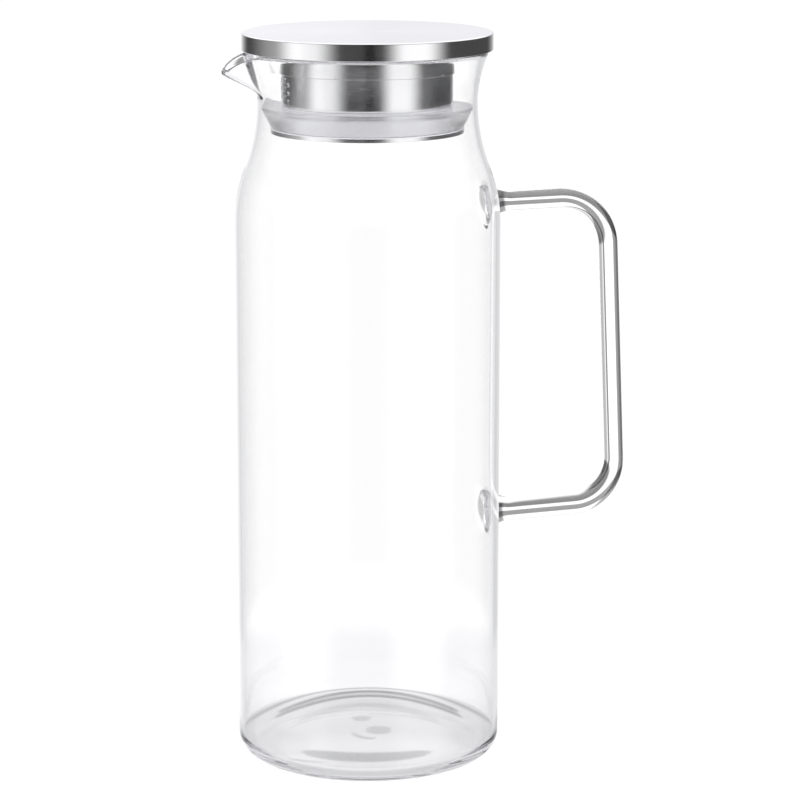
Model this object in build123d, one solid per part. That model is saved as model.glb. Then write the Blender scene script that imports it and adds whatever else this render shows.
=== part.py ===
from build123d import *
import os
from math import cos, pi, radians, sin, tan

# Glass vessel, in millimetres, standing on the table at Z 0 with its axis on Z
body_radius = 50.0
wall = 1.6
heel_radius = 7.9
floor_thickness = 3.0
inner_heel_radius = 6.0
stand_ring_width = 6.0
punt_rise = 1.6
straight_height = 205.5
shoulder_height = 45.5
shoulder_share = 0.46
throat_radius = 41.3
flare_height = 18.0
flare_angle = 22.0
rim_flare = 3.7
rim_round = 1.2

# Pulled pouring lip, on the -X side
spout_reach = 12.1
spout_drop = 5.3
spout_half_angle = 16.0
spout_floor_rise = 7.2
spout_floor_run = 6.5
spout_root_depth = 2.0
spout_round = 0.8
spout_tail = 0.85
spout_ribs = 13

# Bent glass rod handle, on the +X side
handle_top_height = 210.8
handle_drop = 120.8
handle_reach = 48.3
handle_lean = 5.1
handle_upper_bend = 20.0
handle_lower_bend = 16.5
handle_upper_radius = 3.65
handle_lower_radius = 4.5
foot_spread = 4.6
foot_length = 7.5

# Lid shell
lid_overhang = 2.0
lid_height = 6.6
lid_sheet = 0.6
lid_top_bend = 0.2
lid_hem_bend = 1.8
lid_gap = 0.4

# Strainer drum with its collar
pour_gap = 7.8
drum_sheet = 0.5
bead_height = 0.9
bead_depth = 0.5
collar_drop = 7.5
collar_sheet = 0.5
collar_bend = 0.7
collar_lip = 2.0
hole_diameter = 1.9
hole_pitch = 3.35
hole_column_pitch = 2.9
hole_columns = 15
hole_first_azimuth = 185.5

# Silicone seal and the steel ring that keeps it on the drum
seal_below_throat = 1.0
seal_height = 8.0
seal_foot_width = 4.1
seal_lip_height = 1.0
seal_lip_round = 0.5
seal_dish = 0.3
ring_width = 4.3
ring_height = 1.9
ring_sheet = 0.6
ring_round = 0.5

# Clearances
neck_clearance = 0.3
turn_clearance = 0.05
seat_clearance = 0.1
sleeve_clearance = 0.05

# Heights and radii that follow
throat_height = straight_height + shoulder_height
rim_middle_height = throat_height + flare_height
rim_height = rim_middle_height + rim_round
rim_radius = throat_radius + rim_flare
rim_middle_radius = rim_radius - rim_round
throat_bore = throat_radius - wall
clear_above = rim_height + body_radius

lid_radius = rim_radius + lid_overhang
lid_bottom = rim_height + lid_gap
lid_top = lid_bottom + lid_height
lid_top_edge = lid_top_bend + lid_sheet
lid_hem = lid_hem_bend + lid_sheet
hem_inner_radius = lid_radius - lid_hem

drum_radius = throat_bore - pour_gap
seal_top = throat_height - seal_below_throat
seal_bottom = seal_top - seal_height
ring_top = seal_bottom - seat_clearance
ring_bottom = ring_top - ring_height
bead_bottom = seal_top + seat_clearance
bead_top = bead_bottom + bead_height
collar_bottom = lid_bottom - collar_drop
collar_edge = collar_bend + collar_sheet
drum_top = lid_bottom - collar_edge

foot_upper_radius = handle_upper_radius + foot_spread
foot_lower_radius = handle_lower_radius + foot_spread
handle_bottom_height = handle_top_height - handle_drop


def shoulder_line(low_radius, high_radius):
    """The S of the shoulder, from the straight wall to the throat, as two tangent arcs."""
    low = Vector(low_radius, straight_height)
    high = Vector(high_radius, throat_height)
    turn = low + (high - low) * shoulder_share
    bulge = TangentArc(low, turn, tangent=(0, 1))
    hollow = TangentArc(turn, high, tangent=bulge % 1)
    return [bulge, hollow]


def wall_sides(middle, half_walls):
    """The outer and inner control points of a wall whose middle line has four control points."""
    rim_run = (middle[3] - middle[2]).normalized()
    rim_normal = Vector(rim_run.Y, -rim_run.X)
    normals = [Vector(1, 0), Vector(1, 0), rim_normal, rim_normal]
    outer = [m + n * h for m, n, h in zip(middle, normals, half_walls)]
    inner = [m - n * h for m, n, h in zip(middle, normals, half_walls)]
    crown = middle[3] + rim_run * half_walls[3]
    return outer, inner, crown, rim_run


def rim_middle():
    """Control points of the middle line of the plain flare, from throat to rim."""
    lift = flare_height / 3
    return [
        Vector(throat_radius - wall / 2, throat_height),
        Vector(throat_radius - wall / 2, throat_height + lift),
        Vector(rim_middle_radius - lift * tan(radians(flare_angle)), rim_middle_height - lift),
        Vector(rim_middle_radius, rim_middle_height),
    ]


def spout_middle(share):
    """Control points of the pulled lip's middle line, from the plain flare (0) to the tip (1)."""
    plain = rim_middle()
    root = Vector(throat_bore, throat_height - spout_root_depth)
    lift = Vector(throat_bore, plain[1].Y)
    run = Vector(throat_bore + spout_floor_run, throat_height + spout_floor_rise)
    tip = plain[3] + Vector(spout_reach * share, -spout_drop * share * abs(share))
    return [root, lift, plain[2] + (run - plain[2]) * share, tip]


def closed_face(lines, corners):
    """A face from a run of lines whose open end is closed over straight corners."""
    chain = [lines[-1] @ 1, *corners, lines[0] @ 0]
    return make_face([*lines, Polyline(*chain)])


def vessel_outside():
    """The filled outside of the vessel of revolution."""
    stand_outer = body_radius - heel_radius
    stand_inner = stand_outer - stand_ring_width
    outer, inner, crown, _ = wall_sides(rim_middle(), [wall / 2, wall / 2, rim_round, rim_round])
    punt = ThreePointArc((-stand_inner, 0), (0, punt_rise), (stand_inner, 0)).trim(0.5, 1)
    heel_start = Vector(stand_outer, 0)
    heel_end = Vector(body_radius, heel_radius)
    lines = [
        punt,
        Line(punt @ 1, heel_start),
        TangentArc(heel_start, heel_end, tangent=(1, 0)),
        Line(heel_end, (body_radius, straight_height)),
        *shoulder_line(body_radius, throat_radius),
        Bezier(*outer),
        ThreePointArc(outer[3], crown, inner[3]),
    ]
    return revolve(Plane.XZ * closed_face(lines, [Vector(0, inner[3].Y)]), Axis.Z)


def vessel_inside():
    """The filled inside of the vessel of revolution, open upwards."""
    bore = body_radius - wall
    flat = bore - inner_heel_radius
    dish = body_radius - heel_radius - stand_ring_width
    _, inner, _, rim_run = wall_sides(rim_middle(), [wall / 2, wall / 2, rim_round, rim_round])
    crown = floor_thickness + punt_rise
    floor = ThreePointArc((-dish, floor_thickness), (0, crown), (dish, floor_thickness)).trim(0.5, 1)
    heel_start = Vector(flat, floor_thickness)
    heel_end = Vector(bore, floor_thickness + inner_heel_radius)
    lines = [
        floor,
        Line(floor @ 1, heel_start),
        TangentArc(heel_start, heel_end, tangent=(1, 0)),
        Line(heel_end, (bore, straight_height)),
        *shoulder_line(bore, throat_bore),
        Bezier(*inner),
        Line(inner[3], inner[3] + rim_run * flare_height),
    ]
    mouth = lines[-1] @ 1
    corners = [Vector(mouth.X, clear_above), Vector(0, clear_above)]
    return revolve(Plane.XZ * closed_face(lines, corners), Axis.Z)


def upright_plane(azimuth):
    """The plane through the axis whose X runs outward at an azimuth and whose Y is up."""
    turn = radians(azimuth)
    return Plane((0, 0, 0), x_dir=(cos(turn), sin(turn), 0), z_dir=(sin(turn), -cos(turn), 0))


def spout_rib(angle):
    """One upright section through the pulled lip: its filled outside and the channel in it."""
    share = (cos(pi * angle / spout_half_angle) + spout_tail) / (1 + spout_tail)
    lip = rim_round + (spout_round - rim_round) * max(share, 0)
    outer, inner, crown, run = wall_sides(spout_middle(share), [wall / 2, wall / 2, lip, lip])
    core = throat_bore - 2 * wall
    filled = closed_face(
        [Bezier(*outer), ThreePointArc(outer[3], crown, inner[3])],
        [Vector(core, inner[3].Y), Vector(core, outer[0].Y)],
    )
    past = inner[3] + run * flare_height
    channel = closed_face(
        [Bezier(*inner), Line(inner[3], past)],
        [Vector(past.X, clear_above), Vector(core, clear_above), Vector(core, inner[0].Y)],
    )
    place = upright_plane(180 + angle)
    return place * filled, place * channel


def spout_solids():
    """The pulled lip's filled outside and its channel, each lofted through the ribs."""
    step = 2 * spout_half_angle / (spout_ribs - 1)
    ribs = [spout_rib(-spout_half_angle + i * step) for i in range(spout_ribs)]
    return loft([filled for filled, _ in ribs]), loft([channel for _, channel in ribs])


def make_vessel():
    """The glass vessel and its filled outside, which trims what is fused on it."""
    lip, channel = spout_solids()
    outside = vessel_outside() + lip
    return outside - vessel_inside() - channel, outside


def handle_foot(height, rod_radius, foot_radius):
    """The flared end of the rod, reaching into the wall, on an arm axis at a height."""
    root = body_radius - heel_radius
    flare_end = body_radius + foot_length
    flare = TangentArc((flare_end, rod_radius), (body_radius, foot_radius), tangent=(-1, 0))
    lines = [flare, Line((body_radius, foot_radius), (root, foot_radius))]
    face = closed_face(lines, [Vector(root, 0), Vector(flare_end, 0)])
    foot = revolve(Plane.XZ * face, Axis.X)
    return Pos(0, 0, height) * foot


def make_handle(outside):
    """The bent rod, a little thicker in the lower arm, with a fused foot at each end."""
    start = body_radius + foot_length
    grip_top = body_radius + handle_reach
    path = FilletPolyline(
        (start, 0, handle_top_height),
        (grip_top, 0, handle_top_height),
        (grip_top + handle_lean, 0, handle_bottom_height),
        (start, 0, handle_bottom_height),
        radius=[handle_upper_bend, handle_lower_bend],
    )
    *upper_run, lower_bend, lower_arm = path.order_edges()
    thin = Circle(handle_upper_radius)
    thick = Circle(handle_lower_radius)
    bend_start = Plane(lower_bend @ 0, z_dir=lower_bend % 0) * thin
    bend_end = Plane(lower_bend @ 1, z_dir=lower_bend % 1) * thick
    rod = sweep(Plane(path @ 0, z_dir=path % 0) * thin, Wire(upper_run))
    rod += sweep([bend_start, bend_end], lower_bend, multisection=True)
    rod += sweep(bend_end, lower_arm)
    upper = handle_foot(handle_top_height, handle_upper_radius, foot_upper_radius)
    lower = handle_foot(handle_bottom_height, handle_lower_radius, foot_lower_radius)
    return rod + upper + lower - outside


def ring_of(points, rounds=()):
    """A turned ring from an outline of radius and height, with some corners rounded."""
    outline = Polyline(*points, close=True)
    face = make_face(outline)
    for corner, radius in rounds:
        vertex = face.vertices().sort_by_distance(Vector(*points[corner]))[0]
        face = fillet(vertex, radius)
    return revolve(Plane.XZ * face, Axis.Z)


def make_lid_cover():
    """The pressed disc with a straight skirt, whose lower edge is turned in to a hem."""
    outside = ring_of(
        [(0, lid_bottom), (lid_radius, lid_bottom), (lid_radius, lid_top), (0, lid_top)],
        [(1, lid_hem), (2, lid_top_edge)],
    )
    inner = lid_radius - lid_sheet
    ceiling = lid_top - lid_sheet
    inside = ring_of(
        [(0, lid_bottom + lid_sheet), (inner, lid_bottom + lid_sheet), (inner, ceiling), (0, ceiling)],
        [(1, lid_hem_bend), (2, lid_top_bend)],
    )
    opening = Pos(0, 0, lid_bottom) * Cylinder(hem_inner_radius, 2 * lid_sheet)
    return outside - inside - opening


def make_underplate():
    """The flat disc that closes the lid from below, set edge to edge in the hem."""
    low = Align.CENTER, Align.CENTER, Align.MIN
    return Pos(0, 0, lid_bottom) * Cylinder(hem_inner_radius, lid_sheet, align=low)


def make_collar():
    """The band under the plate that the drum is set in, its top edge turned in to a lip."""
    bore = drum_radius + sleeve_clearance
    outer = bore + collar_sheet
    lip = outer - collar_lip
    step = lid_bottom - collar_sheet
    outline = [
        (bore, collar_bottom),
        (outer, collar_bottom),
        (outer, lid_bottom),
        (lip, lid_bottom),
        (lip, step),
        (bore, step),
    ]
    return ring_of(outline, [(2, collar_edge), (5, collar_bend)])


def strainer_holes():
    """The staggered field of radial holes between the bead and the collar."""
    window = collar_bottom - bead_top
    rows = int((window - hole_diameter) / hole_pitch + 0.5)
    field = (rows - 0.5) * hole_pitch
    lowest = bead_top + (window - field) / 2
    drill = Rot(0, 90, 0) * Cylinder(hole_diameter / 2, 2 * (drum_sheet + bead_depth))
    turn = hole_column_pitch / drum_radius * 180 / pi
    holes = []
    for column in range(hole_columns):
        azimuth = hole_first_azimuth - column * turn
        shift = hole_pitch / 2 * (column % 2)
        for row in range(rows):
            height = lowest + shift + row * hole_pitch
            holes.append(Rot(0, 0, azimuth) * Pos(drum_radius, 0, height) * drill)
    return holes


def make_drum():
    """The strainer tube, open below, with a swaged bead just above the seal."""
    bore = drum_radius - drum_sheet
    crest = drum_radius + bead_depth
    bead_middle = (bead_bottom + bead_top) / 2
    outer = [
        Line((drum_radius, ring_bottom), (drum_radius, bead_bottom)),
        ThreePointArc((drum_radius, bead_bottom), (crest, bead_middle), (drum_radius, bead_top)),
        Line((drum_radius, bead_top), (drum_radius, drum_top)),
    ]
    face = closed_face(outer, [Vector(bore, drum_top), Vector(bore, ring_bottom)])
    return revolve(Plane.XZ * face, Axis.Z) - strainer_holes()


def make_base_ring():
    """The channel ring round the drum's foot: a flat seat with its outer edge turned down."""
    bore = drum_radius + sleeve_clearance
    outer = drum_radius + ring_width
    seat = ring_top - ring_sheet
    outline = [
        (bore, seat),
        (outer - ring_sheet, seat),
        (outer - ring_sheet, ring_bottom),
        (outer, ring_bottom),
        (outer, ring_top),
        (bore, ring_top),
    ]
    return ring_of(outline, [(4, ring_round)])


def make_seal():
    """The silicone wedge: a cone from its foot up to the lip that grips the throat."""
    bore = drum_radius + turn_clearance
    foot = drum_radius + seal_foot_width
    lip = throat_bore - neck_clearance
    shoulder = lip - seal_lip_round * 2
    outline = [
        (bore, seal_bottom),
        (foot, seal_bottom),
        (lip, seal_top - seal_lip_height),
        (lip, seal_top),
        (shoulder, seal_top),
        (bore, seal_top - seal_dish),
    ]
    return ring_of(outline, [(2, seal_lip_round), (3, seal_lip_round)])


def main():
    """Build every piece and write each to its own file."""
    vessel, outside = make_vessel()
    pieces = {
        "glass_body": vessel,
        "handle": make_handle(outside),
        "lid_cover": make_lid_cover(),
        "underplate": make_underplate(),
        "drum_collar": make_collar(),
        "strainer_drum": make_drum(),
        "base_ring": make_base_ring(),
        "seal_ring": make_seal(),
    }
    os.makedirs("parts", exist_ok=True)
    for name, piece in pieces.items():
        export_step(piece, f"parts/{name}.step")


main()
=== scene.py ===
"""A lidded glass jug: fused glass vessel and rod handle, steel strainer lid and silicone seal."""

import logging
import math
from collections.abc import Sequence
from dataclasses import dataclass, field
from enum import Enum

import bmesh
import bpy
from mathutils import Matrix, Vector


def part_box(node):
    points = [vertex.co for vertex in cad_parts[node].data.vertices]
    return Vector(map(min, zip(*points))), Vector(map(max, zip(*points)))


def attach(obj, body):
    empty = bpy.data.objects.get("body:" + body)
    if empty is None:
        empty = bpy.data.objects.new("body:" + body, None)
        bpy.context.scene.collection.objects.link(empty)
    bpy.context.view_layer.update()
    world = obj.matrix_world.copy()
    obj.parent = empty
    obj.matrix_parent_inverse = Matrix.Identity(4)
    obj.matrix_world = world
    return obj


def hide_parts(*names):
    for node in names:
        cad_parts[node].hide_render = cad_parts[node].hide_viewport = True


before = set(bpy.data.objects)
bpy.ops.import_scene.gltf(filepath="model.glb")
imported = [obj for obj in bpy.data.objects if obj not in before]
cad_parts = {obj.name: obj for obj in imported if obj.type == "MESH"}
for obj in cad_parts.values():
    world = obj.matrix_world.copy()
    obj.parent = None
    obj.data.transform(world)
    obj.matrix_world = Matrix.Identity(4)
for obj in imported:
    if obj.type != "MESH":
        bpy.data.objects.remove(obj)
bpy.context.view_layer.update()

log = logging.getLogger("jug")

# One millimetre in the scene's metres
MM = 0.001
# Points of one piece nearer than this are one point
WELD = 0.002 * MM
# Facets round a turned piece
FACETS = 240
# Points on a rounded corner, and the short step beside it
BEND_STEPS = 8
SUPPORT = 0.15 * MM
# Longest straight steps on wide and on narrow sections
WIDE_STEP = 4 * MM
NARROW_STEP = 2 * MM
# Degrees from which an edge stays sharp: on steel and silicone, and on the glass, which has none
EDGE_ANGLE = 40
SMOOTH_ANGLE = 180
# Greys of a pattern over which a finish goes from its low to its high value
TONE_RANGE = (0.3, 0.7)
# Shares of the blotches and of the grain in a mottle
MOTTLE_SHARES = (0.7, 0.3)
# Finer layers in the hairlines
HAIRLINE_LAYERS = 3.0
# Light Path depths are whole numbers: above the first a ray has bounced, above the second twice
ONCE = 0.5
TWICE = 1.5
# Surfaces on a sight line through one rod or wall, and through the whole vessel
ROD_CROSSINGS = 2.0
VESSEL_CROSSINGS = 4.0
DEPTH_SLACK = 0.1
# The spin operator turns left-handed, so the handle's bends turn about this
BEND_AXIS = (0, -1, 0)

Point = Vector
Outline = list[Point]
Colour = tuple[float, float, float, float]

WHITE: Colour = (1.0, 1.0, 1.0, 1.0)
BLACK: Colour = (0.0, 0.0, 0.0, 1.0)


class Slot(Enum):
    """The record's finishes."""

    GLASS = "clear_glass"
    STEEL = "brushed_steel"
    SILICONE = "silicone"


class Body(Enum):
    """The bodies that the pieces ride on."""

    PITCHER = "pitcher"
    SEAL = "seal"
    LID = "lid"


def flat(radius: float, height: float) -> Point:
    """One point of a turned outline: its distance from the axis and its height."""
    return Vector((radius, height))


def run(start: Point, end: Point, spacing: float) -> Outline:
    """A straight stretch of outline in even steps.

    Args:
        start: First point, which is left out.
        end: Last point, which is kept.
        spacing: Longest step.

    Returns:
        The points after start, up to end.
    """
    steps = max(1, math.ceil((end - start).length / spacing))
    return [start.lerp(end, i / steps) for i in range(1, steps + 1)]


def bow(start: Point, heading: Point, end: Point, steps: int) -> tuple[Outline, Point]:
    """An arc that leaves a point in a direction and ends at another point.

    Args:
        start: First point, which is left out.
        heading: Direction of the outline at start.
        end: Last point, which is kept.
        steps: Number of points.

    Returns:
        The arc's points and the direction at its end.
    """
    chord = end - start
    turn = 2 * math.atan2(heading.x * chord.y - heading.y * chord.x, heading.dot(chord))
    side = Vector((-heading.y, heading.x)).normalized()
    radius = chord.length / (2 * math.sin(turn / 2))
    centre = start + side * radius
    points = []
    for i in range(1, steps + 1):
        angle = turn * i / steps
        arm = start - centre
        points.append(centre + turned_by(arm, angle))
    return points, turned_by(heading, turn)


def turned_by(arm: Point, angle: float) -> Point:
    """A plane vector turned by an angle."""
    return Vector((
        arm.x * math.cos(angle) - arm.y * math.sin(angle),
        arm.x * math.sin(angle) + arm.y * math.cos(angle),
    ))


def swoop(handles: Sequence[Point], steps: int) -> Outline:
    """The points of a cubic curve with four handles, from its first to its last."""
    a, b, c, d = handles
    points = []
    for i in range(steps + 1):
        t = i / steps
        u = 1 - t
        points.append(a * u ** 3 + b * (3 * u * u * t) + c * (3 * u * t * t) + d * t ** 3)
    return points


def clear_selection() -> None:
    """Leaves edit mode and deselects every object."""
    if bpy.context.object and bpy.context.object.mode != "OBJECT":
        bpy.ops.object.mode_set(mode="OBJECT")
    bpy.ops.object.select_all(action="DESELECT")


def activate(piece: bpy.types.Object) -> None:
    """Selects one piece alone and makes it the active one."""
    clear_selection()
    piece.select_set(True)
    bpy.context.view_layer.objects.active = piece


def edit(piece: bpy.types.Object) -> None:
    """Opens one piece in edit mode with nothing selected in it."""
    activate(piece)
    bpy.ops.object.mode_set(mode="EDIT")
    bpy.ops.mesh.select_all(action="DESELECT")


def weld_and_face_out(piece: bpy.types.Object) -> None:
    """Merges the points of a piece that meet, and turns its faces outwards."""
    edit(piece)
    bpy.ops.mesh.select_all(action="SELECT")
    bpy.ops.mesh.remove_doubles(threshold=WELD)
    bpy.ops.mesh.normals_make_consistent(inside=False)
    bpy.ops.object.mode_set(mode="OBJECT")


def shade(piece: bpy.types.Object, angle: float) -> None:
    """Shades a piece smooth, apart from edges sharper than an angle in degrees."""
    activate(piece)
    bpy.ops.object.shade_smooth_by_angle(angle=math.radians(angle))


def start_point(name: str, place: Vector) -> bpy.types.Object:
    """A new piece that is one point, open in edit mode with the point selected.

    Args:
        name: The piece's name.
        place: Where the point is.

    Returns:
        The piece.
    """
    clear_selection()
    bpy.ops.mesh.primitive_plane_add(size=MM, location=place)
    piece = bpy.context.object
    piece.name = name
    piece.data.name = name
    bpy.ops.object.transform_apply(location=True, rotation=True, scale=True)
    bpy.ops.object.mode_set(mode="EDIT")
    bpy.ops.mesh.select_all(action="SELECT")
    bpy.ops.mesh.merge(type="CENTER")
    return piece


def turn_on_lathe(name: str, outline: Outline) -> bpy.types.Object:
    """A piece turned round the jug's axis.

    Args:
        name: The piece's name.
        outline: Its half section, closed on itself or from axis to axis.

    Returns:
        The piece, welded and facing out.
    """
    first = outline[0]
    piece = start_point(name, Vector((first.x, 0, first.y)))
    for here, there in zip(outline, outline[1:]):
        step = there - here
        bpy.ops.mesh.extrude_region_move(TRANSFORM_OT_translate={"value": (step.x, 0, step.y)})
    bpy.ops.mesh.select_all(action="SELECT")
    bpy.ops.mesh.spin(steps=FACETS, angle=math.tau, center=(0, 0, 0), axis=(0, 0, 1))
    weld_and_face_out(piece)
    return piece


def stretch(start: Point, end: Point, spacing: float) -> Outline:
    """A straight stretch whose first and last steps are short, so that flats stay flat beside bends.

    Args:
        start: First point, which is left out.
        end: Last point, which is kept.
        spacing: Longest step.

    Returns:
        The points after start, up to end.
    """
    length = (end - start).length
    if length < WELD:
        return []
    short = min(SUPPORT / length, 0.25)
    inner = start.lerp(end, short)
    outer = start.lerp(end, 1 - short)
    return [inner, *run(inner, outer, spacing), end]


def rounded(corners: Sequence[tuple[Point, float]], spacing: float, closed: bool = True) -> Outline:
    """An outline with some corners rounded.

    Args:
        corners: Each corner with its radius, 0 for a sharp one.
        spacing: Longest straight step.
        closed: Whether the outline runs back to its first corner.

    Returns:
        The outline's points.
    """
    bends = []
    for i, (corner, radius) in enumerate(corners):
        if radius == 0:
            bends.append([corner])
            continue
        back = (corners[i - 1][0] - corner).normalized()
        ahead = (corners[(i + 1) % len(corners)][0] - corner).normalized()
        reach = radius / math.tan(back.angle(ahead) / 2)
        start = corner + back * reach
        arc, _ = bow(start, -back, corner + ahead * reach, BEND_STEPS)
        bends.append([start, *arc])
    points = list(bends[0])
    for bend in bends[1:]:
        points += stretch(points[-1], bend[0], spacing) + bend[1:]
    if closed:
        points += stretch(points[-1], points[0], spacing)
    return points


def press(name: str, corners: Sequence[tuple[Point, float]], spacing: float,
          closed: bool = True) -> bpy.types.Object:
    """A turned and shaded piece with some corners rounded.

    Args:
        name: The piece's name.
        corners: Each corner of its half section with its radius, 0 for a sharp one.
        spacing: Longest straight step.
        closed: Whether the section runs back to its first corner.

    Returns:
        The piece.
    """
    piece = turn_on_lathe(name, rounded(corners, spacing, closed))
    shade(piece, EDGE_ANGLE)
    return piece


def dress(piece: bpy.types.Object, finish: "Finish", body: Body, *nodes: str) -> None:
    """Gives a finished piece its material, its body and the nodes that it stands for.

    Args:
        piece: The finished piece.
        finish: Its finish.
        body: The body that it rides on.
        nodes: The nodes that it replaces.
    """
    piece.data.materials.clear()
    piece.data.materials.append(finish.material())
    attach(piece, body.value)
    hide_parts(*nodes)
    log.info("%s: %d faces on %s", piece.name, len(piece.data.polygons), body.value)


# Finishes


@dataclass
class NodeBench:
    """Adds nodes to one node tree and joins them."""

    tree: bpy.types.NodeTree

    def add(self, kind: str, **settings: object) -> bpy.types.Node:
        """A new node with some of its settings.

        Args:
            kind: The node's type.
            settings: Attributes to set on it.

        Returns:
            The node.
        """
        node = self.tree.nodes.new(kind)
        for name, value in settings.items():
            setattr(node, name, value)
        return node

    def join(self, source: bpy.types.NodeSocket, target: bpy.types.NodeSocket) -> None:
        """Joins an output to an input."""
        self.tree.links.new(source, target)

    def feed(self, target: bpy.types.NodeSocket, value: object) -> None:
        """Joins an output to an input, or sets a plain value on the input."""
        if isinstance(value, bpy.types.NodeSocket):
            self.join(value, target)
        else:
            target.default_value = value

    def math(self, operation: str, *values: object) -> bpy.types.NodeSocket:
        """The result of a Math node.

        Args:
            operation: The node's operation.
            values: Its inputs, plain or joined.

        Returns:
            The node's output.
        """
        node = self.add("ShaderNodeMath", operation=operation)
        for socket, value in zip(node.inputs, values):
            self.feed(socket, value)
        return node.outputs[0]

    def spread(self, value: object, low: float, high: float, to_low: float = 0.0,
               to_high: float = 1.0) -> bpy.types.NodeSocket:
        """A value eased from one range to another.

        Args:
            value: What is mapped.
            low: Start of its range.
            high: End of its range.
            to_low: Result at low.
            to_high: Result at high.

        Returns:
            The eased value.
        """
        node = self.add("ShaderNodeMapRange", interpolation_type="SMOOTHSTEP")
        for socket, number in zip(node.inputs, (value, low, high, to_low, to_high)):
            self.feed(socket, number)
        return node.outputs[0]

    def noise(self, vector: object, scale: float, detail: float) -> bpy.types.NodeSocket:
        """The grey of a noise texture.

        Args:
            vector: Its coordinates.
            scale: Its scale.
            detail: Its finer layers.

        Returns:
            A value about 0.5.
        """
        node = self.add("ShaderNodeTexNoise")
        self.feed(node.inputs["Vector"], vector)
        node.inputs["Scale"].default_value = scale
        node.inputs["Detail"].default_value = detail
        return node.outputs[0]

    def relief(self, shader: bpy.types.Node, height: bpy.types.NodeSocket, strength: float,
               depth: float) -> None:
        """Gives a shader a bump.

        Args:
            shader: The shader.
            height: The relief's height, about 0 to 1.
            strength: How much of it shows.
            depth: What a height of 1 measures.
        """
        bump = self.add("ShaderNodeBump")
        bump.inputs["Strength"].default_value = strength
        bump.inputs["Distance"].default_value = depth
        self.join(height, bump.inputs["Height"])
        self.join(bump.outputs[0], shader.inputs["Normal"])

    def blend_colour(self, share: object, low: object, high: object) -> bpy.types.NodeSocket:
        """A colour between two others.

        Args:
            share: 0 for the first colour, 1 for the second.
            low: The first colour.
            high: The second colour.

        Returns:
            The mixed colour.
        """
        node = self.add("ShaderNodeMix", data_type="RGBA")
        self.feed(node.inputs["Factor"], share)
        self.feed(node.inputs["A"], low)
        self.feed(node.inputs["B"], high)
        return node.outputs["Result"]


def group_with(name: str, inputs: Sequence[tuple[str, str]],
               outputs: Sequence[tuple[str, str]]) -> tuple[bpy.types.NodeTree, NodeBench]:
    """An empty shader node group with named sockets.

    Args:
        name: The group's name.
        inputs: Name and type of each input.
        outputs: Name and type of each output.

    Returns:
        The group and a bench for its nodes.
    """
    tree = bpy.data.node_groups.new(name, "ShaderNodeTree")
    for label, kind in inputs:
        tree.interface.new_socket(label, in_out="INPUT", socket_type=kind)
    for label, kind in outputs:
        tree.interface.new_socket(label, in_out="OUTPUT", socket_type=kind)
    return tree, NodeBench(tree)


def hairline_group() -> bpy.types.NodeTree:
    """Fine hairlines that run round the axis, on upright and on level faces alike.

    Returns:
        A group with the inputs Fineness and Run and the output Line.
    """
    name = "hairlines_round_axis"
    if name in bpy.data.node_groups:
        return bpy.data.node_groups[name]
    tree, bench = group_with(
        name,
        [("Fineness", "NodeSocketFloat"), ("Run", "NodeSocketFloat")],
        [("Line", "NodeSocketFloat")],
    )
    given = bench.add("NodeGroupInput")
    result = bench.add("NodeGroupOutput")
    place = bench.add("ShaderNodeTexCoord").outputs["Object"]
    split = bench.add("ShaderNodeSeparateXYZ")
    bench.join(place, split.inputs[0])
    x, y, z = split.outputs
    squares = bench.math("ADD", bench.math("MULTIPLY", x, x), bench.math("MULTIPLY", y, y))
    radius = bench.math("SQRT", squares)
    around = bench.math("MAXIMUM", radius, MM)
    combine = bench.add("ShaderNodeCombineXYZ")
    for level, socket in zip((x, y), combine.inputs):
        unit = bench.math("DIVIDE", level, around)
        bench.join(bench.math("MULTIPLY", unit, given.outputs["Run"]), socket)
    across = bench.math("ADD", z, radius)
    bench.join(bench.math("MULTIPLY", across, given.outputs["Fineness"]), combine.inputs[2])
    bench.join(bench.noise(combine.outputs[0], 1.0, HAIRLINE_LAYERS), result.inputs["Line"])
    return tree


def mottle_group() -> bpy.types.NodeTree:
    """Soft blotches with a finer grain in them.

    Returns:
        A group with the inputs Blotch and Grain, in blotches per metre, and the output Tone.
    """
    name = "soft_mottle"
    if name in bpy.data.node_groups:
        return bpy.data.node_groups[name]
    tree, bench = group_with(
        name,
        [("Blotch", "NodeSocketFloat"), ("Grain", "NodeSocketFloat")],
        [("Tone", "NodeSocketFloat")],
    )
    given = bench.add("NodeGroupInput")
    result = bench.add("NodeGroupOutput")
    place = bench.add("ShaderNodeTexCoord").outputs["Object"]
    tones = []
    for label in ("Blotch", "Grain"):
        noise = bench.add("ShaderNodeTexNoise")
        bench.join(place, noise.inputs["Vector"])
        bench.join(given.outputs[label], noise.inputs["Scale"])
        tones.append(noise.outputs[0])
    shares = [bench.math("MULTIPLY", tone, share) for tone, share in zip(tones, MOTTLE_SHARES)]
    bench.join(bench.math("ADD", *shares), result.inputs["Tone"])
    return tree


@dataclass(frozen=True)
class Finish:
    """What every finish has: a name and the record's slot."""

    name: str
    slot: Slot

    def material(self) -> bpy.types.Material:
        """The finish's material, made once."""
        if self.name in bpy.data.materials:
            return bpy.data.materials[self.name]
        made = bpy.data.materials.new(self.name)
        made.use_nodes = True
        bench = NodeBench(made.node_tree)
        shader = made.node_tree.nodes["Principled BSDF"]
        output = made.node_tree.nodes["Material Output"]
        self.fill(bench, shader, output)
        return made

    def fill(self, bench: NodeBench, shader: bpy.types.Node, output: bpy.types.Node) -> None:
        """Sets the shader. Each kind of finish has its own."""
        raise NotImplementedError


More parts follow.
